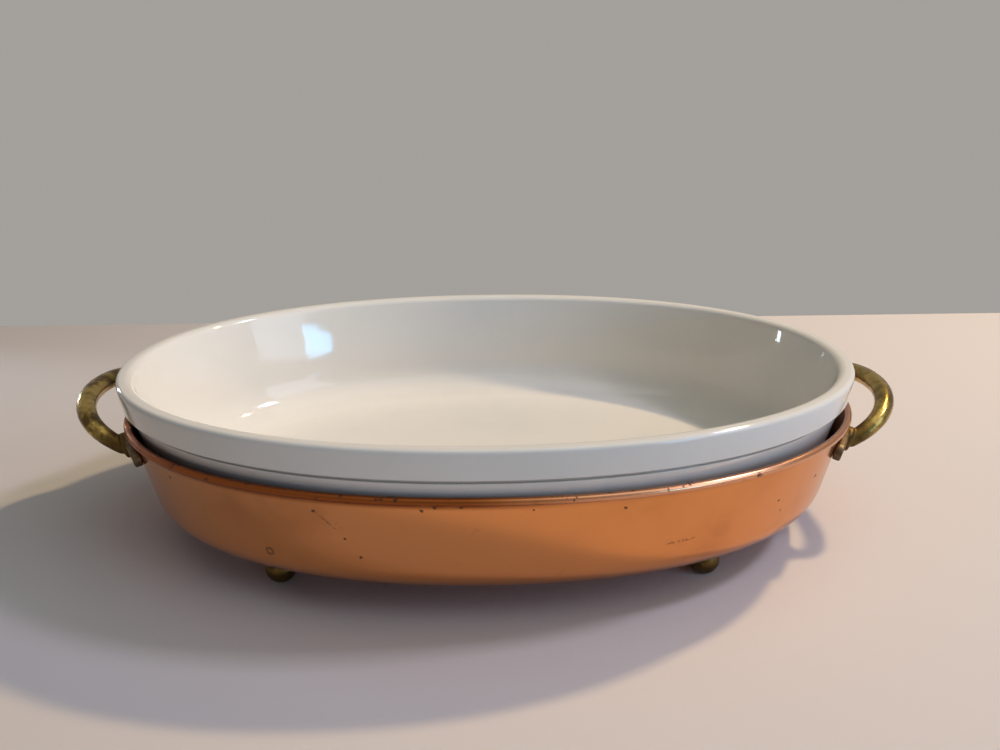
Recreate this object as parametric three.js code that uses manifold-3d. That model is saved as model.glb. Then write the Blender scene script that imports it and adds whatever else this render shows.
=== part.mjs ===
// Oval porcelain baking dish standing in a copper serving stand with brass handles and ball feet.
// Millimetres, +Z up, X along the dish, the front towards -Y, origin on the table under the centre.
import * as THREE from 'three';
import { mergeVertices } from 'three/addons/utils/BufferGeometryUtils.js';
import Module from 'manifold-3d';

// Porcelain dish
const dishLength = 322;
const dishWidth = 223.5;
const dishHeight = 62.4;
const lipThickness = 6;
const bandHeight = 11.4; // lip's top to the step
const bandDraft = 1; // how far the band leans in
const bandStep = 2.2; // set-in of the body under the band
const bandStepHeight = 1;
const bodyTaper = 0.23; // sideways per unit of height
const wallThickness = 4.7;
const floorThickness = 6;
const dishCornerRadius = 16;
const dishCoveRadius = 20;
const footRingWidth = 5;
const footRingInset = 10; // from the edge of the flat underside
const footRingRelief = 0.9; // room between the underside and the rivet heads in the tray
const dishShift = -0.8; // the loose dish stands a little to the left
const dishSeatGap = 0.3;

// Copper tray
const sheetThickness = 1.2;
const trayDepth = 45.7; // underside to the top of the bead
const trayTaper = 0.195;
const trayCornerRadius = 15.5;
const beadDiameter = 3;
const sideClearance = 0.9; // dish to tray at the mouth, across
const endClearance = 1.7; // dish to tray at the mouth, along

// Brass handles
const bossSpacing = 70; // between the two bosses of one handle
const bossDiameter = 11;
const bossHeight = 5;
const rightBeadSpace = 4.4; // between the bead and the bosses
const leftBeadSpace = 1.8;
const tongueThickness = 3;
const tongueMargin = 1.3; // brass around the outer rivet
const handleReach = 28.4;
const handleTilt = THREE.MathUtils.degToRad(30.3);
const loopPower = 2.16; // roundness of the loop, 2 is an ellipse
const barEndDiameter = 6.6;
const barMiddleDiameter = 8.2;
const handleGap = 0.3; // to the tray's wall

// Handle rivets, two in a tongue, flush outside and domed inside
const rivetDiameter = 3.4;
const rivetSinkDiameter = 4.8;
const rivetSinkDepth = 1.2;
const rivetHeadDiameter = 5.8;
const rivetHeadHeight = 1.1;
const rivetClearance = 0.3;
const rivetHeadGap = 0.5;
const rivetBossSpace = 0.6; // boss to the first rivet
const rivetSpace = 1.7; // first rivet to the second

// Ball feet
const footBallDiameter = 12.6;
const footFlatDiameter = 5.2;
const footNeckDiameter = 6.4;
const footNeckLength = 0.9;
const footCollarDiameter = 10.4;
const footCollarHeight = 1.3;
const footSpacing = 173; // along the tray
const footMargin = 0.4; // collar to the edge of the tray's flat base
const footSeatGap = 0.1;

// Foot rivets, domed inside the tray
const footRivetDiameter = 4;
const footRivetLength = 5.4; // below the tray
const footRivetHeadDiameter = 7.6;
const footRivetHeadHeight = 1.6;
const footRivetClearance = 0.3;

// Shape of the ovals, 2 is an ellipse, and fineness of the round surfaces
const dishPower = 2.1;
const trayPower = 2.17;
const ovalSegments = 72;
const smallSegments = 12;
const barSides = 10;
const barSteps = 24;
const domeSteps = 3;
const blockSegments = 5;
const arcStep = THREE.MathUtils.degToRad(24);

const porcelain = { color: 0xe9e6df, roughness: 0.12, metalness: 0 };
const copper = { color: 0xb9683c, roughness: 0.3, metalness: 1 };
const brass = { color: 0x8a6d35, roughness: 0.38, metalness: 1 };

const wasm = await Module();
wasm.setup();

// Welds a geometry into one closed skin, without the triangles that shrank to a line.
function weld(geometry) {
  geometry.deleteAttribute('normal');
  geometry.deleteAttribute('uv');
  const welded = mergeVertices(geometry);
  const corners = Array.from(welded.index.array);
  const kept = [];
  for (let i = 0; i < corners.length; i += 3) {
    const [a, b, c] = corners.slice(i, i + 3);
    if (a !== b && b !== c && c !== a) kept.push(a, b, c);
  }
  welded.setIndex(kept);
  welded.computeVertexNormals();
  return welded;
}

function solidOf(geometry) {
  const welded = weld(geometry);
  const mesh = new wasm.Mesh({
    numProp: 3,
    vertProperties: welded.attributes.position.array,
    triVerts: Uint32Array.from(welded.index.array),
  });
  return new wasm.Manifold(mesh);
}

function geometryOf(solid) {
  const mesh = solid.getMesh();
  const geometry = new THREE.BufferGeometry();
  geometry.setAttribute('position', new THREE.BufferAttribute(mesh.vertProperties, 3));
  geometry.setIndex(Array.from(mesh.triVerts));
  geometry.computeVertexNormals();
  return geometry;
}

function piece(name, geometry, surface) {
  const mesh = new THREE.Mesh(geometry, new THREE.MeshStandardMaterial(surface));
  mesh.name = name;
  return mesh;
}

function flatPoints(pairs) {
  return pairs.map(([radius, height]) => new THREE.Vector2(radius, height));
}

function arcPoints(middle, start, turn) {
  const steps = Math.max(2, Math.ceil(Math.abs(turn) / arcStep));
  const step = turn / steps;
  return Array.from({ length: steps + 1 }, (_, k) => start.clone().rotateAround(middle, step * k));
}

// A run of corners [radius, height, fillet] with each fillet drawn as a tangent arc.
function roundedOutline(corners) {
  const places = flatPoints(corners);
  return places.flatMap((place, i) => {
    const fillet = corners[i][2];
    if (!fillet) return [place];
    const back = places[i - 1].clone().sub(place).normalize();
    const ahead = places[i + 1].clone().sub(place).normalize();
    const halfAngle = Math.acos(back.dot(ahead)) / 2;
    const inward = back.clone().add(ahead).setLength(fillet / Math.sin(halfAngle));
    const start = place.clone().addScaledVector(back, fillet / Math.tan(halfAngle));
    const turn = -Math.sign(back.cross(ahead)) * (Math.PI - 2 * halfAngle);
    return arcPoints(inward.add(place), start, turn);
  });
}

// How far a fillet between a level floor and a tapered wall reaches along the floor.
function filletReach(fillet, taper) {
  return fillet * Math.tan((Math.PI / 2 - Math.atan(taper)) / 2);
}

// A point of the oval whose half width is the radius and whose half length is greater by the stretch.
function ovalPoint(radius, stretch, power, angle) {
  const bend = (value) => Math.sign(value) * Math.abs(value) ** (2 / power);
  const halfLength = radius > 0 ? radius + stretch : 0;
  return new THREE.Vector2(halfLength * bend(Math.cos(angle)), radius * bend(Math.sin(angle)));
}

// A lathe about the Z axis, drawn out into an oval.
function ovalLathe(outline, stretch, power) {
  const geometry = new THREE.LatheGeometry(outline, ovalSegments).rotateX(Math.PI / 2);
  const position = geometry.attributes.position;
  for (let i = 0; i < position.count; i++) {
    const radius = Math.hypot(position.getX(i), position.getY(i));
    const angle = Math.atan2(position.getY(i), position.getX(i));
    const point = ovalPoint(radius, stretch, power, angle);
    position.setXY(i, point.x, point.y);
  }
  return geometry;
}

function roundLathe(outline) {
  return new THREE.LatheGeometry(outline, smallSegments).rotateX(Math.PI / 2);
}

// Outline of a low dome on the level z = 0, from its edge to its top.
function domeOutline(diameter, height) {
  return Array.from({ length: domeSteps + 1 }, (_, k) => {
    const angle = (Math.PI / 2) * (k / domeSteps);
    const radius = k < domeSteps ? (diameter / 2) * Math.cos(angle) : 0;
    return new THREE.Vector2(radius, height * Math.sin(angle));
  });
}

// Heights of the foot's ball, and of everything that stands on the feet

const footBallRadius = footBallDiameter / 2;
const footBallLevel = Math.sqrt(footBallRadius ** 2 - (footFlatDiameter / 2) ** 2);
const footNeckLevel = footBallLevel + Math.sqrt(footBallRadius ** 2 - (footNeckDiameter / 2) ** 2);
const footTop = footNeckLevel + footNeckLength + footCollarHeight;
const trayBase = footTop + footSeatGap;
const trayFloor = trayBase + sheetThickness;
const trayMouth = trayBase + trayDepth;
const dishBase = trayFloor + dishSeatGap;
const dishUnderside = dishBase + footRivetHeadHeight + footRingRelief;
const dishFloor = dishUnderside + floorThickness;
const dishTop = dishBase + dishHeight;
const stepTop = dishTop - bandHeight;
const stepFoot = stepTop - bandStepHeight;

// Dish

const dishRadius = dishWidth / 2;
const dishStretch = (dishLength - dishWidth) / 2;

// Half width of the dish's lower body at a height.
function bodyRadius(height) {
  return dishRadius - bandDraft - bandStep - bodyTaper * (stepFoot - height);
}

function dishOutline() {
  const cornerRadius = bodyRadius(dishUnderside);
  const ringOuter = cornerRadius - filletReach(dishCornerRadius, bodyTaper) - footRingInset;
  const ringInner = ringOuter - footRingWidth;
  const lipLevel = dishTop - lipThickness / 2;
  const lipMiddle = new THREE.Vector2(dishRadius - lipThickness / 2, lipLevel);
  const outside = roundedOutline([
    [0, dishUnderside],
    [ringInner, dishUnderside],
    [ringInner, dishBase],
    [ringOuter, dishBase],
    [ringOuter, dishUnderside],
    [cornerRadius, dishUnderside, dishCornerRadius],
    [bodyRadius(stepFoot), stepFoot],
    [dishRadius - bandDraft, stepTop],
  ]);
  const lip = arcPoints(lipMiddle, new THREE.Vector2(dishRadius, lipLevel), Math.PI);
  const inside = roundedOutline([
    [dishRadius - lipThickness, lipLevel],
    [bodyRadius(dishFloor) - wallThickness, dishFloor, dishCoveRadius],
    [0, dishFloor],
  ]);
  return [...outside, ...lip, ...inside.slice(1)];
}

function porcelainDish() {
  const dish = piece('porcelain_dish', weld(ovalLathe(dishOutline(), dishStretch, dishPower)), porcelain);
  dish.position.x = dishShift;
  return dish;
}

// Tray

const beadRadius = beadDiameter / 2;
const beadLevel = trayMouth - beadRadius;
const trayStretch = dishStretch + endClearance - sideClearance;

// The bead is rolled outwards: it runs on from the wall's inner face and closes on its outer face.
const wallLean = Math.hypot(1, trayTaper);
const mouthRadius = bodyRadius(beadLevel) + sideClearance;
const beadMiddle = new THREE.Vector2(mouthRadius + beadRadius * wallLean, beadLevel);
const beadEnd = new THREE.Vector2(-1, trayTaper).setLength(beadRadius).add(beadMiddle);
const beadTurn = Math.PI + Math.acos((sheetThickness - beadRadius) / beadRadius);
const beadStart = beadEnd.clone().rotateAround(beadMiddle, -beadTurn);

// Half width of the tray's outer wall at a height.
function trayRadius(height) {
  return beadStart.x - trayTaper * (beadStart.y - height);
}

function trayOutline() {
  const outside = roundedOutline([
    [0, trayBase],
    [trayRadius(trayBase), trayBase, trayCornerRadius],
    [beadStart.x, beadStart.y],
  ]);
  const inside = roundedOutline([
    [beadEnd.x, beadEnd.y],
    [trayRadius(trayFloor) - sheetThickness * wallLean, trayFloor, trayCornerRadius - sheetThickness],
    [0, trayFloor],
  ]);
  return [...outside.slice(0, -1), ...arcPoints(beadMiddle, beadStart, beadTurn), ...inside.slice(1)];
}

// Where a piece stands on the tray's right half: a place of the outer wall at a distance from the long
// axis, minus for the front, and at a height. The frame has x along the wall, y up it and z out of it.
function wallFrame(distance, height) {
  const radius = trayRadius(height);
  const halfLength = radius + trayStretch;
  const angle = Math.asin((Math.abs(distance) / radius) ** (trayPower / 2)) * Math.sign(distance);
  const place = ovalPoint(radius, trayStretch, trayPower, angle);
  const steepness = (share, half) => (Math.sign(share) * Math.abs(share) ** (trayPower - 1)) / half;
  const level = new THREE.Vector2(
    steepness(place.x / halfLength, halfLength),
    steepness(place.y / radius, radius),
  ).normalize();
  const out = new THREE.Vector3(level.x, level.y, -trayTaper).normalize();
  const along = new THREE.Vector3(-level.y, level.x, 0);
  const up = out.clone().cross(along);
  return new THREE.Matrix4().makeBasis(along, up, out).setPosition(place.x, place.y, height);
}

// Places on the stand

const halfTurns = { right: 0, left: Math.PI };
const bossLevels = {
  right: beadStart.y - rightBeadSpace - bossDiameter / 2,
  left: beadStart.y - leftBeadSpace - bossDiameter / 2,
};
const bossDistance = bossSpacing / 2;
const firstRivetDistance = bossDistance + bossDiameter / 2 + rivetBossSpace + rivetSinkDiameter / 2;
const rivetDistances = {
  inner: firstRivetDistance,
  outer: firstRivetDistance + rivetSinkDiameter + rivetSpace,
};

function footPlaces() {
  const flatRadius = trayRadius(trayBase) - filletReach(trayCornerRadius, trayTaper);
  const radius = flatRadius - footMargin - footCollarDiameter / 2;
  const along = footSpacing / 2;
  const across = radius * (1 - (along / (radius + trayStretch)) ** trayPower) ** (1 / trayPower);
  return {
    front_right: [along, -across],
    front_left: [-along, -across],
    back_right: [along, across],
    back_left: [-along, across],
  };
}

// Handle rivets, along the z axis of a wall frame

const rivetEnd = handleGap + tongueThickness;
const rivetHeadLevel = -sheetThickness - rivetHeadGap;

function handleRivetGeometry() {
  const head = domeOutline(rivetHeadDiameter, rivetHeadHeight).reverse();
  return roundLathe([
    ...head.map((point) => new THREE.Vector2(point.x, rivetHeadLevel - point.y)),
    ...flatPoints([
      [rivetDiameter / 2, rivetHeadLevel],
      [rivetDiameter / 2, rivetEnd - rivetSinkDepth],
      [rivetSinkDiameter / 2, rivetEnd],
      [0, rivetEnd],
    ]),
  ]);
}

function rivetHole() {
  const shank = rivetDiameter / 2 + rivetClearance;
  const sink = rivetSinkDiameter / 2 + rivetClearance;
  return roundLathe(flatPoints([
    [0, rivetHeadLevel],
    [shank, rivetHeadLevel],
    [shank, rivetEnd - rivetSinkDepth],
    [sink, rivetEnd],
    [sink, rivetEnd + rivetSinkDepth],
    [0, rivetEnd + rivetSinkDepth],
  ]));
}

function footHole() {
  const radius = footRivetDiameter / 2 + footRivetClearance;
  return roundLathe(flatPoints([
    [0, -sheetThickness],
    [radius, -sheetThickness],
    [radius, 2 * sheetThickness],
    [0, 2 * sheetThickness],
  ]));
}

function copperTray() {
  let tray = solidOf(ovalLathe(trayOutline(), trayStretch, trayPower));
  for (const [hand, turn] of Object.entries(halfTurns)) {
    for (const distance of Object.values(rivetDistances)) {
      for (const side of [-1, 1]) {
        const place = wallFrame(side * distance, bossLevels[hand]);
        const hole = rivetHole().applyMatrix4(place).rotateZ(turn);
        tray = tray.subtract(solidOf(hole));
      }
    }
  }
  for (const [x, y] of Object.values(footPlaces())) {
    tray = tray.subtract(solidOf(footHole().translate(x, y, trayBase)));
  }
  return piece('copper_tray', geometryOf(tray), copper);
}

// Handles

// A layer of brass that follows the tray's wall all round, at the height of the bosses.
function wallLayer(thickness, bossLevel) {
  const low = bossLevel - bossDiameter;
  const high = bossLevel + bossDiameter;
  const inner = (height) => trayRadius(height) + handleGap;
  return solidOf(ovalLathe(flatPoints([
    [inner(low), low],
    [inner(low) + thickness, low],
    [inner(high) + thickness, high],
    [inner(high), high],
    [inner(low), low],
  ]), trayStretch, trayPower));
}

// A straight block that stands out of the wall, with the shape as its outline.
function wallBlock(shape, frame) {
  const block = new THREE.ExtrudeGeometry(shape, {
    depth: 4 * bossHeight,
    bevelEnabled: false,
    curveSegments: blockSegments,
  });
  return solidOf(block.translate(0, 0, -2 * bossHeight).applyMatrix4(frame));
}

function bossShape() {
  return new THREE.Shape().absarc(0, 0, bossDiameter / 2, 0, 2 * Math.PI);
}

// The tongue runs from the boss to a round tip about the outer rivet.
function tongueShape(side, frame, bossLevel) {
  const local = (distance) => new THREE.Vector3()
    .setFromMatrixPosition(wallFrame(side * distance, bossLevel))
    .applyMatrix4(frame.clone().invert()).x;
  const root = { x: local(bossDistance), radius: bossDiameter / 2 };
  const tip = { x: local(rivetDistances.outer), radius: rivetSinkDiameter / 2 + tongueMargin };
  const [first, last] = [root, tip].sort((a, b) => a.x - b.x);
  return new THREE.Shape()
    .absarc(first.x, 0, first.radius, Math.PI / 2, (3 * Math.PI) / 2)
    .absarc(last.x, 0, last.radius, -Math.PI / 2, Math.PI / 2);
}

// Half an oval from boss to boss, in a plane that rises away from the tray.
class HandleLoop extends THREE.Curve {
  constructor(start) {
    super();
    this.start = start;
    this.out = new THREE.Vector3(Math.cos(handleTilt), 0, Math.sin(handleTilt));
  }

  getPoint(t) {
    const bend = (value) => Math.sign(value) * Math.abs(value) ** (2 / loopPower);
    const angle = Math.PI * t;
    return new THREE.Vector3(this.start.x, this.start.y * bend(Math.cos(angle)), this.start.z)
      .addScaledVector(this.out, handleReach * bend(Math.sin(angle)));
  }
}

// A turned bar, thickest in the middle and round at its ends, bent along the loop.
function handleBar(loop) {
  const length = loop.getLength();
  const endRadius = barEndDiameter / 2;
  const swelling = (barMiddleDiameter - barEndDiameter) / 2;
  const middle = Array.from({ length: barSteps + 1 }, (_, k) => {
    const share = k / barSteps;
    return new THREE.Vector2(endRadius + swelling * Math.sin(Math.PI * share), length * share);
  });
  const roundEnd = arcPoints(new THREE.Vector2(), new THREE.Vector2(0, -endRadius), Math.PI / 2);
  const farEnd = roundEnd.map((point) => new THREE.Vector2(point.x, length - point.y)).reverse();
  const outline = [...roundEnd.slice(0, -1), ...middle, ...farEnd.slice(1)];
  outline.at(0).x = 0;
  outline.at(-1).x = 0;
  const bar = new THREE.LatheGeometry(outline, barSides);
  const across = new THREE.Vector3(0, -1, 0).cross(loop.out);
  const position = bar.attributes.position;
  const radial = new THREE.Vector3();
  for (let i = 0; i < position.count; i++) {
    const distance = position.getY(i);
    const share = THREE.MathUtils.clamp(distance / length, 0, 1);
    const tangent = loop.getTangentAt(share);
    radial.copy(tangent).cross(across).multiplyScalar(position.getX(i));
    const point = loop.getPointAt(share).add(radial);
    point.addScaledVector(across, position.getZ(i));
    point.addScaledVector(tangent, distance - share * length);
    position.setXYZ(i, point.x, point.y, point.z);
  }
  return solidOf(bar);
}

function handleSolid(bossLevel) {
  const bossTop = new THREE.Vector3(0, 0, handleGap + bossHeight)
    .applyMatrix4(wallFrame(bossDistance, bossLevel));
  let handle = handleBar(new HandleLoop(bossTop));
  for (const side of [-1, 1]) {
    const bossFrame = wallFrame(side * bossDistance, bossLevel);
    const tongueFrame = wallFrame(side * rivetDistances.inner, bossLevel);
    const bossBlock = wallBlock(bossShape(), bossFrame);
    const tongueBlock = wallBlock(tongueShape(side, tongueFrame, bossLevel), tongueFrame);
    handle = handle.add(wallLayer(bossHeight, bossLevel).intersect(bossBlock));
    handle = handle.add(wallLayer(tongueThickness, bossLevel).intersect(tongueBlock));
  }
  for (const side of [-1, 1]) {
    for (const distance of Object.values(rivetDistances)) {
      const hole = rivetHole().applyMatrix4(wallFrame(side * distance, bossLevel));
      handle = handle.subtract(solidOf(hole));
    }
  }
  return handle;
}

// A handle with its four rivets, made for the right wall and turned half round for the left one.
function handleWithRivets(name, turn) {
  const group = new THREE.Group();
  group.add(piece(`${name}_handle`, geometryOf(handleSolid(bossLevels[name])), brass));
  for (const side of [-1, 1]) {
    const end = side * Math.cos(turn) < 0 ? 'front' : 'back';
    for (const [row, distance] of Object.entries(rivetDistances)) {
      const rivet = piece(`${end}_${name}_${row}_rivet`, weld(handleRivetGeometry()), brass);
      rivet.applyMatrix4(wallFrame(side * distance, bossLevels[name]));
      group.add(rivet);
    }
  }
  group.rotation.z = turn;
  return group;
}

// Feet

const footHoleDepth = footRivetLength + footRivetClearance;

function ballFootGeometry() {
  const ballMiddle = new THREE.Vector2(0, footBallLevel);
  const ballStart = new THREE.Vector2(footFlatDiameter / 2, 0);
  const ballEnd = new THREE.Vector2(footNeckDiameter / 2, footNeckLevel);
  const ballAngle = (point) => Math.atan2(point.y - ballMiddle.y, point.x);
  const holeRadius = footRivetDiameter / 2 + footRivetClearance;
  return roundLathe([
    new THREE.Vector2(0, 0),
    ...arcPoints(ballMiddle, ballStart, ballAngle(ballEnd) - ballAngle(ballStart)),
    ...flatPoints([
      [footNeckDiameter / 2, footTop - footCollarHeight],
      [footCollarDiameter / 2, footTop - footCollarHeight],
      [footCollarDiameter / 2, footTop],
      [holeRadius, footTop],
      [holeRadius, footTop - footHoleDepth],
      [0, footTop - footHoleDepth],
    ]),
  ]);
}

function footRivetGeometry() {
  const headLevel = trayFloor + footSeatGap;
  const head = domeOutline(footRivetHeadDiameter, footRivetHeadHeight - footSeatGap);
  return roundLathe([
    ...flatPoints([
      [0, trayBase - footRivetLength],
      [footRivetDiameter / 2, trayBase - footRivetLength],
      [footRivetDiameter / 2, headLevel],
    ]),
    ...head.map((point) => new THREE.Vector2(point.x, headLevel + point.y)),
  ]);
}

function feetWithRivets() {
  const group = new THREE.Group();
  for (const [place, [x, y]] of Object.entries(footPlaces())) {
    const foot = piece(`${place}_foot`, weld(ballFootGeometry()), brass);
    foot.position.set(x, y, 0);
    const rivet = piece(`${place}_foot_rivet`, weld(footRivetGeometry()), brass);
    rivet.position.set(x, y, 0);
    group.add(foot, rivet);
  }
  return group;
}

const servingDish = new THREE.Group();
servingDish.add(porcelainDish(), copperTray(), feetWithRivets());
for (const [name, turn] of Object.entries(halfTurns)) {
  servingDish.add(handleWithRivets(name, turn));
}

export default servingDish;
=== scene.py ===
import math

import bmesh
import bpy
from mathutils import Matrix, Vector


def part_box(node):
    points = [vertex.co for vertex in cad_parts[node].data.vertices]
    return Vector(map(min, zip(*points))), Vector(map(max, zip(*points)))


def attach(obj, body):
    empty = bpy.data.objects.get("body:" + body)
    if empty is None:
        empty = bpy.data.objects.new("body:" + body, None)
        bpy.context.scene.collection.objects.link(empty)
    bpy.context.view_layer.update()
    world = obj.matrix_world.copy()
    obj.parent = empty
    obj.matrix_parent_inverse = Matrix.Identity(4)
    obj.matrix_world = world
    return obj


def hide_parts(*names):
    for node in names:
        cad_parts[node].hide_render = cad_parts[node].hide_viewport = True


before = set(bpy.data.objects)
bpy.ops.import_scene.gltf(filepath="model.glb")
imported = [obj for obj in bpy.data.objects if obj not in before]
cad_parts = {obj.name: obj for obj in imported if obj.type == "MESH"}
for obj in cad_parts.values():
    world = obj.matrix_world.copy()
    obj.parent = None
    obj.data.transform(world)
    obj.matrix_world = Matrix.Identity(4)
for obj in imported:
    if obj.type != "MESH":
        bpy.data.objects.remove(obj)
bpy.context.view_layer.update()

print("frame loaded,", len(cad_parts), "nodes")


# modelling helpers

def bend(value, power):
    return math.copysign(abs(value) ** (2 / power), value)


def pickOnly(*pieces):
    bpy.ops.object.select_all(action="DESELECT")
    for piece in pieces:
        piece.select_set(True)
    bpy.context.view_layer.objects.active = pieces[0]


def applied(piece, kind, **settings):
    pickOnly(piece)
    modifier = piece.modifiers.new(kind.title(), kind)
    for key, value in settings.items():
        setattr(modifier, key, value)
    bpy.ops.object.modifier_apply(modifier=modifier.name)
    return piece


def joined(name, *pieces):
    pickOnly(*pieces)
    bpy.ops.object.join()
    pieces[0].name = name
    return pieces[0]


# a copy with its own mesh, moved to its place, with the place kept in the mesh
def placedCopy(piece, name, place):
    copy = piece.copy()
    copy.data = piece.data.copy()
    copy.name = name
    bpy.context.scene.collection.objects.link(copy)
    copy.matrix_world = place
    pickOnly(copy)
    bpy.ops.object.transform_apply(location=True, rotation=True, scale=True)
    return copy


def dropped(piece):
    bpy.data.objects.remove(piece)


def smoothFaces(piece, angle=40):
    pickOnly(piece)
    bpy.ops.object.shade_smooth_by_angle(angle=math.radians(angle))


mergeGap = 1e-6


# a wall drawn ring by ring: the last ring is extruded, then scaled to its next size
class RingPull:
    def __init__(self, name, halfLength, halfWidth, height, middle=0, power=2, sides=48, fill="NGON"):
        bpy.ops.object.select_all(action="DESELECT")
        bpy.ops.mesh.primitive_circle_add(vertices=sides, radius=1, fill_type=fill)
        self.piece = bpy.context.object
        self.piece.name = name
        self.middle = middle
        self.halfLength, self.halfWidth, self.height = 1, 1, height
        bpy.ops.object.mode_set(mode="EDIT")
        ring = bmesh.from_edit_mesh(self.piece.data)
        for vert in ring.verts:
            vert.co.x = bend(vert.co.x, power) + middle
            vert.co.y = bend(vert.co.y, power)
        bmesh.update_edit_mesh(self.piece.data)
        bpy.ops.mesh.select_all(action="SELECT")
        bpy.ops.transform.translate(value=(0, 0, height))
        self.scaleTo(halfLength, halfWidth, height)

    def scaleTo(self, halfLength, halfWidth, height):
        bpy.ops.transform.resize(
            value=(halfLength / self.halfLength, halfWidth / self.halfWidth, 1),
            center_override=(self.middle, 0, height))
        self.halfLength, self.halfWidth, self.height = halfLength, halfWidth, height

    def to(self, halfLength, halfWidth, height):
        rise = (0, 0, height - self.height)
        bpy.ops.mesh.extrude_region_move(TRANSFORM_OT_translate={"value": rise})
        self.scaleTo(halfLength, halfWidth, height)

    def follow(self, run, stretch=0):
        for radius, height in run:
            self.to(radius + stretch, radius, height)

    def spread(self, shares, halfLength, halfWidth):  # rings of a flat floor
        for share in shares:
            self.to(halfLength * share, halfWidth * share, self.height)

    def done(self):
        bpy.ops.mesh.select_all(action="SELECT")
        bpy.ops.mesh.remove_doubles(threshold=mergeGap)
        bpy.ops.mesh.normals_make_consistent(inside=False)
        bpy.ops.object.mode_set(mode="OBJECT")
        return self.piece


def arcRun(centre, start, turn, turnStep=9):
    steps = max(2, math.ceil(math.degrees(abs(turn)) / turnStep))
    arm = start - centre
    return [centre + Matrix.Rotation(turn * k / steps, 2) @ arm for k in range(steps + 1)]


# points through corners (radius, height, fillet), with fillets as arcs and long straights divided
def roundedRun(corners, turnStep=9, gap=0.006):
    places = [Vector(corner[:2]) for corner in corners]
    run = []
    for i, (place, corner) in enumerate(zip(places, corners)):
        arc = [place]
        if corner[2]:
            back = (places[i - 1] - place).normalized()
            ahead = (places[i + 1] - place).normalized()
            half = back.angle(ahead) / 2
            centre = place + (back + ahead).normalized() * corner[2] / math.sin(half)
            start = place + back * corner[2] / math.tan(half)
            turn = math.copysign(math.pi - 2 * half, -back.cross(ahead))
            arc = arcRun(centre, start, turn, turnStep)
        if run:
            span = arc[0] - run[-1]
            parts = max(1, round(span.length / gap))
            run += [run[-1] + span * k / parts for k in range(1, parts)]
        run += arc
    return run


ovalSides = 240
floorShares = (0.86, 0.7, 0.54, 0.38, 0.22, 0.08)


# a hollow oval from the middle of its underside, over its rim, to the middle of its floor
def ovalShell(name, run, stretch, power, middle=0):
    first, last = run[0], run[-1]
    shares = floorShares[::-1]
    pull = RingPull(name, (first.x + stretch) * shares[0], first.x * shares[0], first.y,
                    middle, power, ovalSides)
    pull.spread(shares[1:], first.x + stretch, first.x)
    pull.follow(run, stretch)
    pull.spread(floorShares, last.x + stretch, last.x)
    return pull.done()


# porcelain dish

dish = {
    "power": 2.1,           # of the oval, 2 is an ellipse
    "lip": 0.006,
    "bandHeight": 0.0114,   # lip's top to the step
    "bandDraft": 0.001,
    "step": 0.0022,         # set-in of the body
    "stepHeight": 0.001,
    "taper": 0.23,
    "wall": 0.0047,
    "floor": 0.006,
    "corner": 0.016,
    "cove": 0.02,
    "ringWidth": 0.005,
    "ringInset": 0.02273,   # foot ring, from the outer corner
    "ringHeight": 0.0025,
    "ringEdge": 0.0011,
    "bandEdge": 0.001,
    "stepEdge": 0.0003,
    "groove": 0.0006,       # depth of the line under the band
    "grooveHeight": 0.0013,
    "lipOuter": 0.0017,     # roundings of the lip
    "lipInner": 0.0037,
    "flatShare": 0.8,       # of the floor, where the rings start
}


def porcelainDish():
    low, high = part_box("porcelain_dish")
    radius = (high.y - low.y) / 2
    stretch = (high.x - low.x) / 2 - radius
    under = low.z + dish["ringHeight"]
    floor = under + dish["floor"]
    stepTop = high.z - dish["bandHeight"]
    stepFoot = stepTop - dish["stepHeight"]
    bodyTop = radius - dish["bandDraft"] - dish["step"]
    grooveFoot = stepFoot - dish["grooveHeight"]
    grooveEdge = bodyTop - dish["taper"] * dish["grooveHeight"]
    corner = bodyTop - dish["taper"] * (stepFoot - under)
    innerFoot = bodyTop - dish["taper"] * (stepFoot - floor) - dish["wall"]
    ringOuter = corner - dish["ringInset"]
    ringInner = ringOuter - dish["ringWidth"]
    lipLevel = high.z - dish["lip"] / 2
    run = roundedRun([
        (ringInner, under, 0),
        (ringInner, low.z, dish["ringEdge"]),
        (ringOuter, low.z, dish["ringEdge"]),
        (ringOuter, under, dish["ringEdge"]),
        (corner, under, dish["corner"]),
        (grooveEdge, grooveFoot, dish["stepEdge"]),
        (grooveEdge - dish["groove"], grooveFoot + dish["groove"] / 2, 0),
        (bodyTop - dish["groove"], stepFoot, dish["stepEdge"]),
        (radius - dish["bandDraft"], stepTop, dish["bandEdge"]),
        (radius, lipLevel, 0),
        (radius, high.z, dish["lipOuter"]),
        (radius - dish["lip"], high.z, dish["lipInner"]),
        (innerFoot, floor, dish["cove"]),
        (innerFoot * dish["flatShare"], floor, 0),
    ])
    return ovalShell("porcelainDish", run, stretch, dish["power"], (low.x + high.x) / 2)


# copper tray

tray = {
    "power": 2.17,
    "sheet": 0.0012,
    "taper": 0.195,      # sideways per unit of height
    "corner": 0.0155,
    "bead": 0.0015,      # radius of the rolled edge
    "beadStep": 15,      # degrees between its rings
    "flatShare": 0.75,
}
trayLow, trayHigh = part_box("copper_tray")
trayStretch = trayHigh.x - trayHigh.y
wallLean = math.hypot(1, tray["taper"])
beadMiddle = Vector((trayHigh.y - tray["bead"], trayHigh.z - tray["bead"]))
beadEnd = beadMiddle + Vector((-1, tray["taper"])).normalized() * tray["bead"]
beadTurn = math.pi + math.acos(tray["sheet"] / tray["bead"] - 1)
beadStart = beadMiddle + Matrix.Rotation(-beadTurn, 2) @ (beadEnd - beadMiddle)


def trayRadius(height):  # half width of the outer wall
    return beadStart.x - tray["taper"] * (beadStart.y - height)


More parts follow.
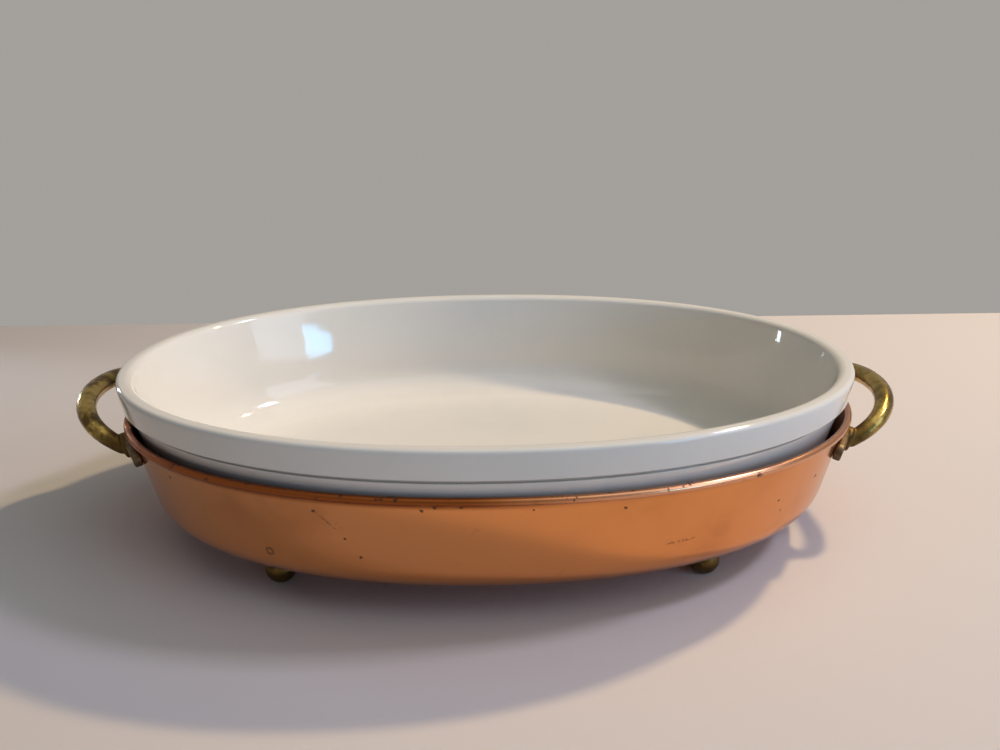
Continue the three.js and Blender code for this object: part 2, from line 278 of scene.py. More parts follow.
def copperTray():
    base, floor = trayLow.z, trayLow.z + tray["sheet"]
    corner = trayRadius(base)
    innerFoot = trayRadius(floor) - tray["sheet"] * wallLean
    outside = roundedRun([
        (corner * tray["flatShare"], base, 0),
        (corner, base, tray["corner"]),
        (*beadStart, 0),
    ])
    inside = roundedRun([
        (*beadEnd, 0),
        (innerFoot, floor, tray["corner"] - tray["sheet"]),
        (innerFoot * tray["flatShare"], floor, 0),
    ])
    run = outside[:-1] + arcRun(beadMiddle, beadStart, beadTurn, tray["beadStep"]) + inside[1:]
    return ovalShell("copperTray", run, trayStretch, tray["power"])


# a place on the tray's right wall: x along the wall, y up it and z out of it
def wallPlace(distance, height):
    halfWidth = trayRadius(height)
    halfLength = halfWidth + trayStretch
    share = abs(distance) / halfWidth
    power = tray["power"]
    place = Vector((halfLength * (1 - share ** power) ** (1 / power), distance, height))
    slopeX = (place.x / halfLength) ** (power - 1) / halfLength
    slopeY = math.copysign(share ** (power - 1) / halfWidth, distance)
    level = Vector((slopeX, slopeY, 0)).normalized()
    out = Vector((level.x, level.y, -tray["taper"])).normalized()
    along = Vector((-level.y, level.x, 0))
    wall = Matrix((along, out.cross(along), out)).transposed().to_4x4()
    wall.translation = place
    return wall


# brass handles

handle = {
    "bossDistance": 0.035,     # from the long axis
    "bossRadius": 0.0055,
    "bossTop": 0.0053,         # out of the wall
    "bossEdge": 0.0007,
    "bossEdgeSteps": 3,
    "discSides": 64,
    "beadSpaces": {"right": 0.0044, "left": 0.0018},  # bead to bosses
    "tongueTop": 0.0033,       # out of the wall
    "tipRadius": 0.0037,
    "rivetDistances": {"Inner": 0.0435, "Outer": 0.05},
    "wallGap": 0.00012,
    "reach": 0.0284,
    "tilt": math.radians(30.3),
    "loopPower": 2.16,
    "barEnd": 0.0033,          # radius
    "barSwell": 0.0008,
    "barSides": 32,
    "barSteps": 56,
    "voxel": 0.0003,
    "smoothing": 28,           # rounds of it
    "smoothShare": 0.5,
    "castDent": 0.00012,
    "castDentSize": 0.005,
}
bossLevels = {hand: beadStart.y - space - handle["bossRadius"]
              for hand, space in handle["beadSpaces"].items()}


# a turned bar, thickest in the middle: a disc drawn along half an oval that rises away from the tray
def handleBar(start):
    points = []
    for k in range(handle["barSteps"] + 1):
        angle = math.pi * k / handle["barSteps"]
        points.append(Vector((handle["reach"] * bend(math.sin(angle), handle["loopPower"]),
                              start.y * bend(math.cos(angle), handle["loopPower"]), 0)))
    headings = [(b - a).to_2d().normalized() for a, b in zip(points, points[1:])]
    headings = [Vector((1, 0)), *headings, Vector((-1, 0))]
    facing = [(a + b).normalized() for a, b in zip(headings, headings[1:])]
    thickness = handle["barEnd"]
    bpy.ops.object.select_all(action="DESELECT")
    bpy.ops.mesh.primitive_circle_add(vertices=handle["barSides"], radius=thickness, fill_type="NGON",
                                      location=points[0], rotation=(0, math.pi / 2, 0))
    bar = bpy.context.object
    bpy.ops.object.transform_apply(location=True, rotation=True)
    bpy.ops.object.mode_set(mode="EDIT")
    bpy.ops.mesh.select_all(action="SELECT")
    for k in range(1, len(points)):
        bpy.ops.mesh.extrude_region_move(TRANSFORM_OT_translate={"value": points[k] - points[k - 1]})
        turn = facing[k - 1].angle_signed(facing[k])
        bpy.ops.transform.rotate(value=turn, orient_axis="Z", center_override=points[k])
        swollen = handle["barEnd"] + handle["barSwell"] * math.sin(math.pi * k / handle["barSteps"])
        bpy.ops.transform.resize(value=(swollen / thickness,) * 3, center_override=points[k])
        thickness = swollen
    bpy.ops.mesh.select_all(action="SELECT")
    bpy.ops.mesh.normals_make_consistent(inside=False)
    bpy.ops.object.mode_set(mode="OBJECT")
    bar.rotation_euler = (0, -handle["tilt"], 0)
    bar.location = (start.x, 0, start.z)
    bpy.ops.object.transform_apply(location=True, rotation=True)
    return bar


# a layer of brass round the tray's wall, at the height of the bosses
def wallLayer(top, level):
    low, high = level - 2 * handle["bossRadius"], level + 2 * handle["bossRadius"]
    inner = handle["wallGap"]
    corners = [(trayRadius(low) + inner, low), (trayRadius(low) + top, low),
               (trayRadius(high) + top, high), (trayRadius(high) + inner, high)]
    pull = RingPull("wallLayer", corners[0][0] + trayStretch, *corners[0],
                    power=tray["power"], sides=ovalSides, fill="NOTHING")
    pull.follow([*corners[1:], corners[0]], trayStretch)
    return pull.done()


def wallDisc(distance, level, radius, depth, turnedAs):
    bpy.ops.object.select_all(action="DESELECT")
    bpy.ops.mesh.primitive_cylinder_add(
        vertices=handle["discSides"], radius=radius, depth=depth,
        rotation=wallPlace(turnedAs, level).to_euler(), location=wallPlace(distance, level).translation)
    return bpy.context.object


# the tongue is the hull of the boss and a round tip, cut out of the layer on the wall
def tongue(side, level):
    inner, outer = handle["rivetDistances"].values()
    depth = 6 * handle["tongueTop"]  # past both faces of the layer
    root = wallDisc(side * handle["bossDistance"], level, handle["bossRadius"], depth, side * inner)
    tip = wallDisc(side * outer, level, handle["tipRadius"], depth, side * inner)
    block = joined("tongue", root, tip)
    bpy.ops.object.mode_set(mode="EDIT")
    bpy.ops.mesh.select_all(action="SELECT")
    bpy.ops.mesh.convex_hull()
    bpy.ops.object.mode_set(mode="OBJECT")
    layer = wallLayer(handle["tongueTop"], level)
    applied(block, "BOOLEAN", operation="INTERSECT", object=layer, solver="EXACT")
    dropped(layer)
    return block


def boss(side, level):
    distance = side * handle["bossDistance"]
    wall = wallPlace(distance, level)
    height = handle["bossTop"] - handle["wallGap"]
    disc = wallDisc(distance, level, handle["bossRadius"], height, distance)
    bpy.ops.object.mode_set(mode="EDIT")
    bpy.ops.mesh.select_all(action="SELECT")
    bpy.ops.transform.translate(value=wall.to_3x3() @ Vector((0, 0, handle["wallGap"] + height / 2)))
    rim = bmesh.from_edit_mesh(disc.data)
    for face in rim.faces:
        face.select_set(face.normal.z > 0.9)  # the outer end, in the disc's own axes
    rim.select_flush_mode()
    bmesh.update_edit_mesh(disc.data)
    bpy.ops.mesh.bevel(offset=handle["bossEdge"], segments=handle["bossEdgeSteps"], affect="EDGES")
    bpy.ops.object.mode_set(mode="OBJECT")
    return disc


def rootBall(place):  # rounds the bar's end into its boss
    bpy.ops.object.select_all(action="DESELECT")
    sides = handle["barSides"]
    bpy.ops.mesh.primitive_uv_sphere_add(segments=sides, ring_count=sides // 2, radius=handle["barEnd"],
                                         location=place)
    return bpy.context.object


def wobble(name, size):
    texture = bpy.data.textures.new(name, "CLOUDS")
    texture.noise_scale = size
    return texture


def castHandle(name, level):
    start = wallPlace(handle["bossDistance"], level) @ Vector((0, 0, handle["bossTop"]))
    casting = [handleBar(start)]
    for side in (-1, 1):
        casting += [boss(side, level), tongue(side, level), rootBall((start.x, side * start.y, start.z))]
    whole = joined(name, *casting)
    applied(whole, "REMESH", mode="VOXEL", voxel_size=handle["voxel"])
    applied(whole, "SMOOTH", factor=handle["smoothShare"], iterations=handle["smoothing"])
    applied(whole, "DISPLACE", texture=wobble("castDent", handle["castDentSize"]),
            strength=handle["castDent"], texture_coords="LOCAL")
    return whole


# rivets and feet, turned about the z axis

handleRivet = {
    "shank": 0.0017,
    "sink": 0.0024,
    "sinkDepth": 0.0012,
    "end": 0.0032,          # flush with the tongue
    "proud": 0.00008,
    "headRadius": 0.0029,
    "headLevel": -0.0017,   # inside the tray
    "headHeight": 0.0011,
}


def domeRun(radius, level, height, steps=8):
    quarter = [math.pi / 2 * k / steps for k in range(steps)]
    return [Vector((radius * math.cos(a), level + height * math.sin(a))) for a in quarter]


def turned(name, run, sides=40):
    pull = RingPull(name, run[0].x, run[0].x, run[0].y, sides=sides)
    pull.follow(run[1:])
    return pull.done()


def rivetForm():
    size = handleRivet
    head = domeRun(size["headRadius"], size["headLevel"], -size["headHeight"])[::-1]
    shank = [Vector((size["shank"], size["headLevel"])),
             Vector((size["shank"], size["end"] - size["sinkDepth"])),
             Vector((size["sink"], size["end"]))]
    return turned("rivetForm", head + shank + domeRun(size["sink"], size["end"], size["proud"])[1:])


ballFoot = {
    "ball": 0.0063,
    "flat": 0.0026,
    "neck": 0.0032,
    "neckLength": 0.0009,
    "collar": 0.0052,
    "collarEdge": 0.0005,
    "collarGap": 0.001,     # between rings
    "ballStep": 8,          # degrees between rings
    "edgeStep": 22,
}
footRivet = {
    "shank": 0.002,
    "length": 0.0054,       # below the tray
    "headRadius": 0.0038,
    "headHeight": 0.0015,
    "seatGap": 0.0001,
}


def footForm():
    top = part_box("front_left_foot")[1].z
    ballLevel = math.sqrt(ballFoot["ball"] ** 2 - ballFoot["flat"] ** 2)
    neckLevel = ballLevel + math.sqrt(ballFoot["ball"] ** 2 - ballFoot["neck"] ** 2)
    start = Vector((ballFoot["flat"], 0))
    middle = Vector((0, ballLevel))
    flatAngle = math.asin(ballFoot["flat"] / ballFoot["ball"])
    neckAngle = math.asin(ballFoot["neck"] / ballFoot["ball"])
    ball = arcRun(middle, start, math.pi - flatAngle - neckAngle, ballFoot["ballStep"])
    collar = roundedRun([
        (ballFoot["neck"], neckLevel, 0),
        (ballFoot["neck"], neckLevel + ballFoot["neckLength"], ballFoot["collarEdge"] / 2),
        (ballFoot["collar"], neckLevel + ballFoot["neckLength"], ballFoot["collarEdge"]),
        (ballFoot["collar"], top, ballFoot["collarEdge"] / 2),
        (ballFoot["neck"], top, 0),
    ], ballFoot["edgeStep"], ballFoot["collarGap"])
    return turned("footForm", ball + collar[1:])


def footRivetForm():
    floor = trayLow.z + tray["sheet"] + footRivet["seatGap"]
    shank = [Vector((footRivet["shank"], trayLow.z - footRivet["length"])),
             Vector((footRivet["shank"], floor))]
    return turned("footRivetForm", shank + domeRun(footRivet["headRadius"], floor, footRivet["headHeight"]))


# shader values: expressions on wires and numbers add their Math nodes
class Wire:
    def __init__(self, socket):
        self.socket = socket

    def node(self, kind, settings=None, values=None, out=0):
        tree = self.socket.id_data
        made = tree.nodes.new(kind)
        for key, value in (settings or {}).items():
            setattr(made, key, value)
        for key, value in (values or {}).items():
            if isinstance(value, Wire):
                tree.links.new(value.socket, made.inputs[key])
            else:
                made.inputs[key].default_value = value
        return Wire(made.outputs[out]) if made.outputs else None

    def maths(self, operation, *terms):
        return self.node("ShaderNodeMath", {"operation": operation}, dict(enumerate(terms)))

    def __add__(self, other):
        return self.maths("ADD", self, other)

    def __sub__(self, other):
        return self.maths("SUBTRACT", self, other)

    def __rsub__(self, other):
        return self.maths("SUBTRACT", other, self)

    def __mul__(self, other):
        return self.maths("MULTIPLY", self, other)

    def __truediv__(self, other):
        return self.maths("DIVIDE", self, other)

    def __pow__(self, other):
        return self.maths("POWER", self, other)

    __radd__ = __add__
    __rmul__ = __mul__

    def greatest(self, other):
        return self.maths("MAXIMUM", self, other)

    def least(self, other):
        return self.maths("MINIMUM", self, other)

    def magnitude(self):
        return self.maths("ABSOLUTE", self)

    def fade(self, low, high):  # 0 below low, 1 above high
        return self.node("ShaderNodeMapRange", {"interpolation_type": "SMOOTHSTEP"},
                         {0: self, 1: low, 2: high})

    def noise(self, scale, detail, roughness=0.5):
        return self.node("ShaderNodeTexNoise", {},
                         {"Vector": self, "Scale": scale, "Detail": detail, "Roughness": roughness})

    def patches(self, span, **look):  # noise made a mask by the span of its values
        return self.noise(**look).fade(*span)

    def cells(self, scale):  # distance to the nearest of scattered points
        return self.node("ShaderNodeTexVoronoi", {}, {"Vector": self, "Scale": scale})

    def stretched(self, scale):
        return self.node("ShaderNodeMapping", {}, {"Vector": self, "Scale": scale})

    def awayFrom(self, point):
        return self.node("ShaderNodeVectorMath", {"operation": "DISTANCE"}, {0: self, 1: point}, "Value")

    def axis(self, letter):
        return self.node("ShaderNodeSeparateXYZ", {}, {0: self}, letter)

    def paint(self, under, over):  # this mask lays one colour over another
        return self.node("ShaderNodeMix", {"data_type": "RGBA"}, {0: self, 6: under, 7: over}, 2)

    def bump(self, depth, under=None):
        values = {"Height": self, "Distance": depth, "Strength": 1}
        if under:
            values["Normal"] = under
        return self.node("ShaderNodeBump", {}, values)


def rgb(red, green, blue):
    return (red, green, blue, 1)


def above(level, span):
    return [level + edge for edge in span]


def ovalMeasure(along, across, power):  # 1 on the oval, less inside it
    return along.magnitude() ** power + across.magnitude() ** power


def startMaterial(name):
    material = bpy.data.materials.new(name)
    material.use_nodes = True
    material.node_tree.nodes.clear()
    return material, Wire(material.node_tree.nodes.new("ShaderNodeTexCoord").outputs["Object"])


def endMaterial(place, values):
    shader = place.node("ShaderNodeBsdfPrincipled", {}, values)
    place.node("ShaderNodeOutputMaterial", {}, {"Surface": shader})


glaze = {
    "white": rgb(0.87, 0.855, 0.82),
    "pooled": rgb(0.79, 0.80, 0.78),
    "speck": rgb(0.30, 0.24, 0.18),
    "bare": rgb(0.62, 0.56, 0.47),     # unglazed foot ring
    "line": rgb(0.16, 0.15, 0.14),     # painted shade in the groove under the band
    "outside": (0.9, 0.922),           # oval measure between the wall's two faces
    "lineFoot": (-0.0002, 0.0003),     # from the foot of the groove
    "lineTop": (0, 0.0004),            # from the foot of the step
    "lineShare": 0.5,
    "pools": {"scale": 22, "detail": 3, "span": (0.45, 0.75)},
    "poolShare": 0.5,
    "speckScale": 140,
    "speckEdge": (0.02, 0.035),
    "speckPlaces": {"scale": 35, "detail": 1, "span": (0.62, 0.7)},
    "speckShare": 0.7,
    "bareTop": (0.0005, 0.0011),       # from the foot ring's underside
    "bareRoughness": 0.6,
    "roughness": 0.04,
    "smears": {"scale": 60, "detail": 2},
    "smearRoughness": 0.03,
    "ripples": {"scale": 45, "detail": 2},
    "rippleDepth": 0.00018,
    "peel": {"scale": 400, "detail": 2},
    "peelDepth": 0.00001,
    "ior": 1.55,
}


def glazedPorcelain():
    material, place = startMaterial("glazedPorcelain")
    low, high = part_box("porcelain_dish")
    stepFoot = high.z - dish["bandHeight"] - dish["stepHeight"]
    grooveFoot = stepFoot - dish["grooveHeight"]
    height = place.axis("Z")
    along = (place.axis("X") - (low.x + high.x) / 2) / ((high.x - low.x) / 2)
    across = place.axis("Y") / high.y
    outside = ovalMeasure(along, across, dish["power"]).fade(*glaze["outside"])
    # painted shade: the groove under the band's overhang is darkened as if it were in its shadow
    inGroove = height.fade(*above(grooveFoot, glaze["lineFoot"]))
    line = outside * inGroove * (1 - height.fade(*above(stepFoot, glaze["lineTop"])))
    pools = place.patches(**glaze["pools"]) * glaze["poolShare"]
    white = pools.paint(glaze["white"], glaze["pooled"])
    grooveShaded = (line * glaze["lineShare"]).paint(white, glaze["line"])
    dots = 1 - place.cells(glaze["speckScale"]).fade(*glaze["speckEdge"])
    specks = dots * place.patches(**glaze["speckPlaces"]) * glaze["speckShare"]
    speckled = specks.paint(grooveShaded, glaze["speck"])
    bare = 1 - height.fade(*above(low.z, glaze["bareTop"]))
    smears = place.noise(**glaze["smears"]) * glaze["smearRoughness"]
    ripples = place.noise(**glaze["ripples"]).bump(glaze["rippleDepth"])
    endMaterial(place, {
        "Base Color": bare.paint(speckled, glaze["bare"]),
        "Roughness": bare * glaze["bareRoughness"] + glaze["roughness"] + smears,
        "Normal": place.noise(**glaze["peel"]).bump(glaze["peelDepth"], ripples),
        "IOR": glaze["ior"],
    })
    return material


copper = {
    "polished": rgb(0.78, 0.32, 0.112),
    # painted highlight along the bead's right half
    "rubbed": rgb(0.80, 0.44, 0.28),
    "tarnish": rgb(0.27, 0.075, 0.018),
    "dark": rgb(0.055, 0.022, 0.012),
    "clouds": {"scale": 16, "detail": 4, "roughness": 0.6},
    "cloudSpan": (0.5, 0.8),
    "cloudShare": 0.35,
    "bloom": (0.0828, -0.0910, 0.0344),   # middle of a round brown stain
    "bloomEdge": (0.002, 0.008),
    "bloomShare": 0.22,
    "smudges": {"scale": 85, "detail": 4, "roughness": 0.65, "span": (0.6, 0.78)},
    "smudgePlaces": {"scale": 20, "detail": 2, "span": (0.4, 0.6)},
    "smudgeShare": 0.4,
    "brownFoot": (0.012, 0.028),          # heights of the painted shade towards the tray's foot
    "brownEnd": (0.11, 0.15),             # places along x of the painted shade at the right end
    "brownShare": 0.3,
    "leftEnd": (0.015, 0.075),            # where the stains under the bead thin out and the painted highlight on the bead begins
    "leftRagged": {"scale": 25, "detail": 3},
    "leftReach": 0.06,
    "beadEdge": (-0.0004, 0.0006),        # this edge and the next three are from the bead's foot
    "stainEdge": (-0.0028, -0.0004),
    "fleckEdge": (-0.0012, 0),
    "insideTop": (-0.0005, 0.0005),
    "insideRise": (0.029, 0.052),         # heights
    "inside": (0.986, 0.993),             # oval measure between the wall's two faces
    "rubbedShare": 0.7,
    "streakStretch": (45, 45, 260),
    "streaks": {"scale": 1, "detail": 3, "roughness": 0.6, "span": (0.2, 0.42)},
    "stainLeft": 0.82,
    "stainAll": 0.15,
    "flecks": {"scale": 210, "detail": 3, "roughness": 0.6, "span": (0.6, 0.68)},
    "fleckShare": 0.9,
    "ragged": {"scale": 600, "detail": 3},
    "raggedSize": 0.0012,
    "spots": (  # places and radii on the front wall
        (-0.0247, -0.1073, 0.0537, 0.0010), (-0.0200, -0.1079, 0.0550, 0.0009),
        (-0.0113, -0.1084, 0.0553, 0.0008), (-0.0623, -0.1008, 0.0508, 0.0009),
        (-0.1217, -0.0730, 0.0509, 0.0008), (-0.0473, -0.1001, 0.0316, 0.0007),
        (-0.0522, -0.1008, 0.0396, 0.0006), (0.0131, -0.1080, 0.0536, 0.0006),
        (0.0448, -0.1046, 0.0520, 0.0008), (0.1082, -0.0798, 0.0401, 0.0007),
        (0.1103, -0.0772, 0.0343, 0.0006), (0.1277, -0.0657, 0.0428, 0.0009),
    ),
    "spotEdge": (0.3, 1.05),              # shares of the radius
    "ring": (-0.0822, -0.0901, 0.0287),
    "ringRadius": 0.0014,
    "ringEdge": (0.0002, 0.0008),
    "ringBreaks": {"scale": 420, "detail": 2, "span": (0.28, 0.5)},
    "ringShare": 0.7,
    "scratches": (
        ((-0.0617, -0.1009, 0.0505), (-0.0553, -0.1010, 0.0437)),
        ((0.0619, -0.0973, 0.0328), (0.0731, -0.0942, 0.0336)),
    ),
    "scratchEdge": (0.00002, 0.00012),
    "scratchBreaks": {"scale": 900, "detail": 1, "span": (0.38, 0.64)},
    "scratchShare": 0.45,
    "pitScale": 95,
    "pitEdge": (0.025, 0.06),
    "pitPlaces": {"scale": 24, "detail": 2, "span": (0.6, 0.66)},
    "darkMost": 0.85,
    "darkDulls": 0.5,                     # taken off Metallic
    "roughness": 0.15,
    "roughened": {"clouds": 0.07, "stains": 0.2, "dark": 0.3},
    "lineStretch": (6, 6, 900),
    "lines": {"scale": 1, "detail": 3, "roughness": 0.6},
    "lineDepth": 0.000004,
    "waves": {"scale": 11, "detail": 1},
    "waveDepth": 0.0012,
}


# the sheet's colour with its stains; the stains under the bead, which are strongest on the left; painted
# shade towards the foot and at the right end; and a painted highlight along the bead on the right
def sheetStainsAndPaintedLight(place, height, clouds):
    bloom = 1 - place.awayFrom(copper["bloom"]).fade(*copper["bloomEdge"])
    smudges = place.patches(**copper["smudges"]) * place.patches(**copper["smudgePlaces"])
    # painted shade: the sheet is browned towards the tray's foot and at its right end
    foot = 1 - height.fade(*copper["brownFoot"])
    end = place.axis("X").fade(*copper["brownEnd"])
    brown = (clouds.fade(*copper["cloudSpan"]) * copper["cloudShare"]).greatest(bloom * copper["bloomShare"])
    brown = brown.greatest(smudges * copper["smudgeShare"]).greatest((foot + end) * copper["brownShare"])
    sheet = brown.paint(copper["polished"], copper["tarnish"])
    ragged = place.noise(**copper["leftRagged"]) * copper["leftReach"]
    left = 1 - (place.axis("X") + ragged).fade(*copper["leftEnd"])
    bead = height.fade(*above(beadStart.y, copper["beadEdge"]))
    # painted highlight: the bead is lightened on the right, where the lamps catch it
    highlighted = (bead * (1 - left) * copper["rubbedShare"]).paint(sheet, copper["rubbed"])
    streaks = place.stretched(copper["streakStretch"]).patches(**copper["streaks"])
    under = height.fade(*above(beadStart.y, copper["stainEdge"])) * streaks
    stains = under * (left * copper["stainLeft"] + copper["stainAll"])
    return stains.paint(highlighted, copper["tarnish"]), stains


# dark spots, a broken ring and scratches
def copperMarks(place):
    ragged = place.noise(**copper["ragged"]) * copper["raggedSize"] - copper["raggedSize"] / 2
    core, rim = copper["spotEdge"]
    marks = sum(1 - (place.awayFrom(middle) + ragged).fade(radius * core, radius * rim)
                for *middle, radius in copper["spots"])
    ringGap = (place.awayFrom(copper["ring"]) + ragged - copper["ringRadius"]).magnitude()
    ring = (1 - ringGap.fade(*copper["ringEdge"])) * place.patches(**copper["ringBreaks"])
    marks = marks + ring * copper["ringShare"]
    for start, end in copper["scratches"]:
        spread = place.awayFrom(start) + place.awayFrom(end) - (Vector(end) - Vector(start)).length
        scratch = (1 - spread.fade(*copper["scratchEdge"])) * place.patches(**copper["scratchBreaks"])
        marks = marks + scratch * copper["scratchShare"]
    return marks


# the upper inside of the wall, which is never polished: oxide, and painted shade in the narrow gap behind
# the dish
def insideTray(place, height):
    halfWidth = (height - beadStart.y) * tray["taper"] + beadStart.x
    along = place.axis("X") / (halfWidth + trayStretch)
    across = place.axis("Y") / halfWidth
    inside = 1 - ovalMeasure(along, across, tray["power"]).fade(*copper["inside"])
    underBead = 1 - height.fade(*above(beadStart.y, copper["insideTop"]))
    return inside * height.fade(*copper["insideRise"]) * underBead


def polishedCopper():
    material, place = startMaterial("polishedCopper")
    height = place.axis("Z")
    clouds = place.noise(**copper["clouds"])
    sheet, stains = sheetStainsAndPaintedLight(place, height, clouds)
    pits = 1 - place.cells(copper["pitScale"]).fade(*copper["pitEdge"])
    pits = pits * place.patches(**copper["pitPlaces"])
    flecks = place.patches(**copper["flecks"]) * height.fade(*above(beadStart.y, copper["fleckEdge"]))
    dark = copperMarks(place).greatest(pits).greatest(flecks * copper["fleckShare"])
    dark = dark.greatest(insideTray(place, height)).least(copper["darkMost"])
    rough = copper["roughened"]
    lines = place.stretched(copper["lineStretch"]).noise(**copper["lines"])
    waves = place.noise(**copper["waves"]).bump(copper["waveDepth"])
    endMaterial(place, {
        "Base Color": dark.paint(sheet, copper["dark"]),
        "Metallic": 1 - dark * copper["darkDulls"],
        "Roughness": (copper["roughness"] + clouds * rough["clouds"] + stains * rough["stains"]
                      + dark * rough["dark"]),
        "Normal": lines.bump(copper["lineDepth"], waves),
    })
    return material


brass = {
    "bright": rgb(0.52, 0.365, 0.11),
    "olive": rgb(0.21, 0.15, 0.038),
    "brown": rgb(0.095, 0.052, 0.015),
    "dull": rgb(0.16, 0.115, 0.075),      # on the tongues
    "dark": rgb(0.025, 0.016, 0.008),
    "leafEdge": (0.009, 0.013),           # round the tips of the tongues
    "leafShare": 0.75,
    "jointEdge": (0.009, 0.018),          # round the bosses
    "jointShare": 0.88,
    "footTop": (0.012, 0.016),            # heights
    "footShare": 0.85,
    "olivePatches": {"scale": 75, "detail": 4, "roughness": 0.6, "span": (0.4, 0.6)},
    "brownPatches": {"scale": 130, "detail": 3, "roughness": 0.6, "span": (0.44, 0.64)},
    "leftEnd": (-0.05, 0.05),             # places along x
    "brownLeft": 0.6,
    "brownAll": 0.3,
    "grime": {"scale": 320, "detail": 3, "roughness": 0.65, "span": (0.5, 0.72)},
    "grimeShares": {"joint": 0.4, "foot": 0.3, "all": 0.4},
    "grimeDulls": 0.4,                    # taken off Metallic
    "roughness": 0.22,
    "roughened": {"brown": 0.12, "joint": 0.22, "foot": 0.1, "grime": 0.25},
    "grain": {"scale": 650, "detail": 3},
    "grainDepth": 0.00003,
}


def agedBrass():
    material, place = startMaterial("agedBrass")
    mirrored = place.node("ShaderNodeVectorMath", {"operation": "ABSOLUTE"}, {0: place})
    level = sum(bossLevels.values()) / 2
    bossSpot = wallPlace(handle["bossDistance"], level).translation
    tipSpot = wallPlace(handle["rivetDistances"]["Outer"], level).translation
    leaf = 1 - mirrored.awayFrom(tipSpot).fade(*brass["leafEdge"])
    joint = (1 - mirrored.awayFrom(bossSpot).fade(*brass["jointEdge"])).greatest(leaf)
    foot = 1 - place.axis("Z").fade(*brass["footTop"])
    left = 1 - place.axis("X").fade(*brass["leftEnd"])
    metal = place.patches(**brass["olivePatches"]).paint(brass["bright"], brass["olive"])
    brown = place.patches(**brass["brownPatches"]) * (left * brass["brownLeft"] + brass["brownAll"])
    tarnish = brown.greatest(joint * brass["jointShare"]).greatest(foot * brass["footShare"])
    tarnished = tarnish.paint(metal, brass["brown"])
    aged = (leaf * brass["leafShare"]).paint(tarnished, brass["dull"])
    share = brass["grimeShares"]
    grime = place.patches(**brass["grime"]) * (joint * share["joint"] + foot * share["foot"] + share["all"])
    rough = brass["roughened"]
    endMaterial(place, {
        "Base Color": grime.paint(aged, brass["dark"]),
        "Metallic": 1 - grime * brass["grimeDulls"],
        "Roughness": (brass["roughness"] + brown * rough["brown"] + joint * rough["joint"]
                      + foot * rough["foot"] + grime * rough["grime"]),
        "Normal": place.noise(**brass["grain"]).bump(brass["grainDepth"]),
    })
    return material


# building the object

def settle(piece, body, slotName, material, *nodes):
    piece.data.materials.clear()
    piece.data.materials.append(material)
    smoothFaces(piece)
    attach(piece, body)
    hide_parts(*nodes)


def camel(node):
    first, *rest = node.split("_")
    return first + "".join(word.title() for word in rest)


porcelainLook = glazedPorcelain()
copperLook = polishedCopper()
brassLook = agedBrass()

settle(porcelainDish(), "dish", "porcelain", porcelainLook, "porcelain_dish")
print("dish glazed")
settle(copperTray(), "stand", "copper", copperLook, "copper_tray")
print("tray raised")

turns = {"right": Matrix.Identity(4), "left": Matrix.Rotation(math.pi, 4, "Z")}
for hand, level in bossLevels.items():
    casting = castHandle(hand + "Handle", level)
    casting.matrix_world = turns[hand]
    pickOnly(casting)
    bpy.ops.object.transform_apply(location=True, rotation=True, scale=True)
    settle(casting, "stand", "brass", brassLook, hand + "_handle")
    print(hand, "handle cast,", len(casting.data.polygons), "faces")

form = rivetForm()
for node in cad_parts:
    words = node.split("_")
    if words[-1] == "rivet" and "foot" not in words:
        end, hand, row = words[:3]
        side = 1 if (end == "back") == (hand == "right") else -1
        spot = wallPlace(side * handle["rivetDistances"][row.title()], bossLevels[hand])
        settle(placedCopy(form, camel(node), turns[hand] @ spot), "stand", "brass", brassLook, node)
dropped(form)
print("handles riveted")

foot, pin = footForm(), footRivetForm()
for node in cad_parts:
    if "foot" in node:
        low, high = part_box(node)
        spot = Matrix.Translation(((low.x + high.x) / 2, (low.y + high.y) / 2, 0))
        form = pin if node.endswith("rivet") else foot
        settle(placedCopy(form, camel(node), spot), "stand", "brass", brassLook, node)
dropped(foot)
dropped(pin)
print("feet set")


# stage, lights and camera

stage = {
    "cloth": rgb(0.76, 0.72, 0.73),
    "roughness": 0.9,
    "dimRoom": rgb(0.027, 0.029, 0.03),  # lights what is matt
    "paleRoom": rgb(0.37, 0.35, 0.33),   # is seen, and mirrored in gloss
    "backEdge": 0.344,
    "size": 2.6,
}


def addStage():
    middle = (0, stage["backEdge"] - stage["size"] / 2, 0)
    bpy.ops.object.select_all(action="DESELECT")
    bpy.ops.mesh.primitive_plane_add(size=stage["size"], location=middle)
    floor = bpy.context.object
    floor.name = "paleFloor"
    material, place = startMaterial("paleFloor")
    endMaterial(place, {"Base Color": stage["cloth"], "Roughness": stage["roughness"]})
    floor.data.materials.append(material)


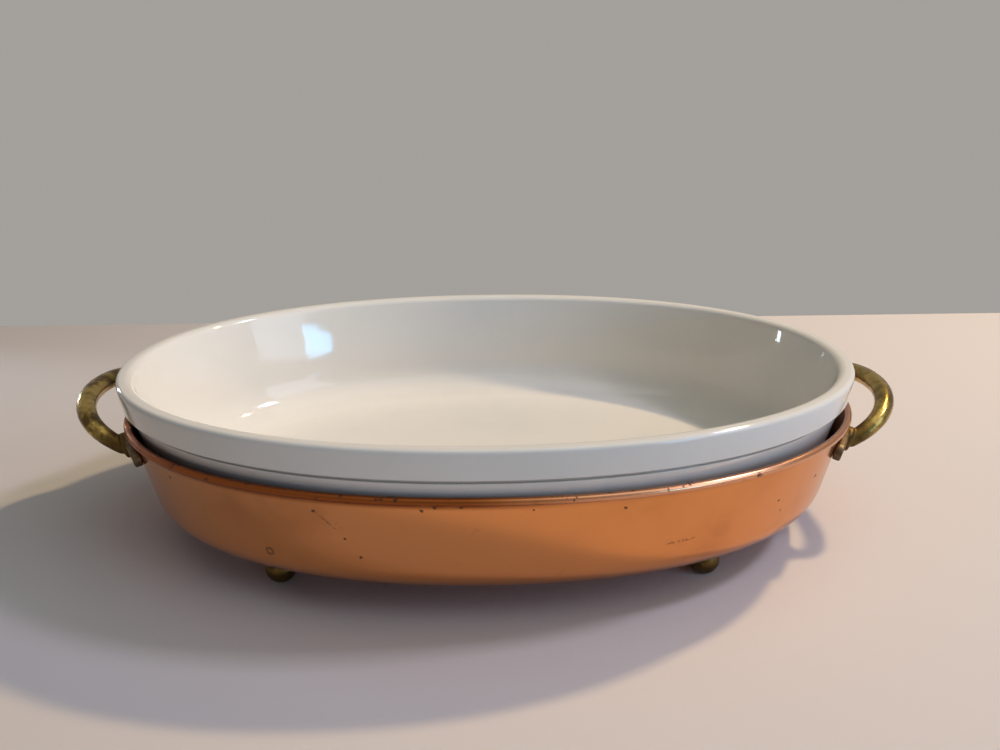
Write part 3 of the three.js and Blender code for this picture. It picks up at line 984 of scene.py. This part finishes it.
# azimuth is measured from +Y towards +X
lamps = {
    "warmKey": {"azimuth": 65, "elevation": 52, "distance": 1.35, "size": (0.07, 0.07), "power": 8.1,
                "colour": (1, 0.73, 0.38)},
    "rightSoft": {"azimuth": 92, "elevation": 50, "distance": 2, "size": (0.24, 0.24), "power": 9.4,
                  "colour": (0.88, 0.84, 1)},
    "frontSoft": {"azimuth": 122, "elevation": 26, "distance": 2, "size": (0.9, 1.4), "power": 8.4,
                  "colour": (0.62, 0.77, 1)},
    "overhead": {"azimuth": 140, "elevation": 76, "distance": 2, "size": (2, 2), "power": 9.0,
                 "colour": (1, 0.99, 0.87)},
    "window": {"azimuth": 138, "elevation": 7, "distance": 2, "size": (0.32, 0.26), "power": 0.16,
               "colour": (0.2, 0.6, 1), "spread": 40},
    "leftStrip": {"azimuth": -62, "elevation": 10, "distance": 0.62, "size": (0.03, 0.14), "power": 0.03,
                  "colour": (0.8, 0.9, 1), "spread": 50},
}


def addLamps():
    for name, lamp in lamps.items():
        azimuth, elevation = math.radians(lamp["azimuth"]), math.radians(lamp["elevation"])
        away = Vector((math.sin(azimuth) * math.cos(elevation), math.cos(azimuth) * math.cos(elevation),
                       math.sin(elevation)))
        data = bpy.data.lights.new(name, "AREA")
        data.shape = "RECTANGLE"
        data.size, data.size_y = lamp["size"]
        data.energy = lamp["power"]
        data.color = lamp["colour"]
        data.spread = math.radians(lamp.get("spread", 180))
        place = bpy.data.objects.new(name, data)
        place.location = away * lamp["distance"]
        place.rotation_euler = away.to_track_quat("Z", "Y").to_euler()
        bpy.context.scene.collection.objects.link(place)


def addRoom():
    world = bpy.data.worlds.new("softRoom")
    bpy.context.scene.world = world
    world.use_nodes = True
    nodes, links = world.node_tree.nodes, world.node_tree.links
    rays = nodes.new("ShaderNodeLightPath").outputs
    seen, mirrored, through = (Wire(rays[f"Is {kind} Ray"]) for kind in ("Camera", "Glossy", "Transmission"))
    room = seen.greatest(mirrored).greatest(through).paint(stage["dimRoom"], stage["paleRoom"])
    links.new(room.socket, nodes["Background"].inputs["Color"])


camera = {
    "place": (-0.003116, -0.33089, 0.178655),
    "pitch": 0.3324,
    "yaw": 0.0232,
    "roll": -0.0073,
    "lens": 27.04,
    "sensor": 36,
}


def addCamera():
    data = bpy.data.cameras.new("photoCamera")
    data.lens = camera["lens"]
    data.sensor_width = camera["sensor"]
    eye = bpy.data.objects.new("photoCamera", data)
    turn = (Matrix.Rotation(-camera["yaw"], 3, "Z") @ Matrix.Rotation(math.pi / 2 - camera["pitch"], 3, "X")
            @ Matrix.Rotation(camera["roll"], 3, "Z"))
    eye.location = camera["place"]
    eye.rotation_euler = turn.to_euler()
    bpy.context.scene.collection.objects.link(eye)
    bpy.context.scene.camera = eye


addStage()
addLamps()
addRoom()
addCamera()
bpy.context.scene.view_settings.view_transform = "Standard"
print("stage lit")
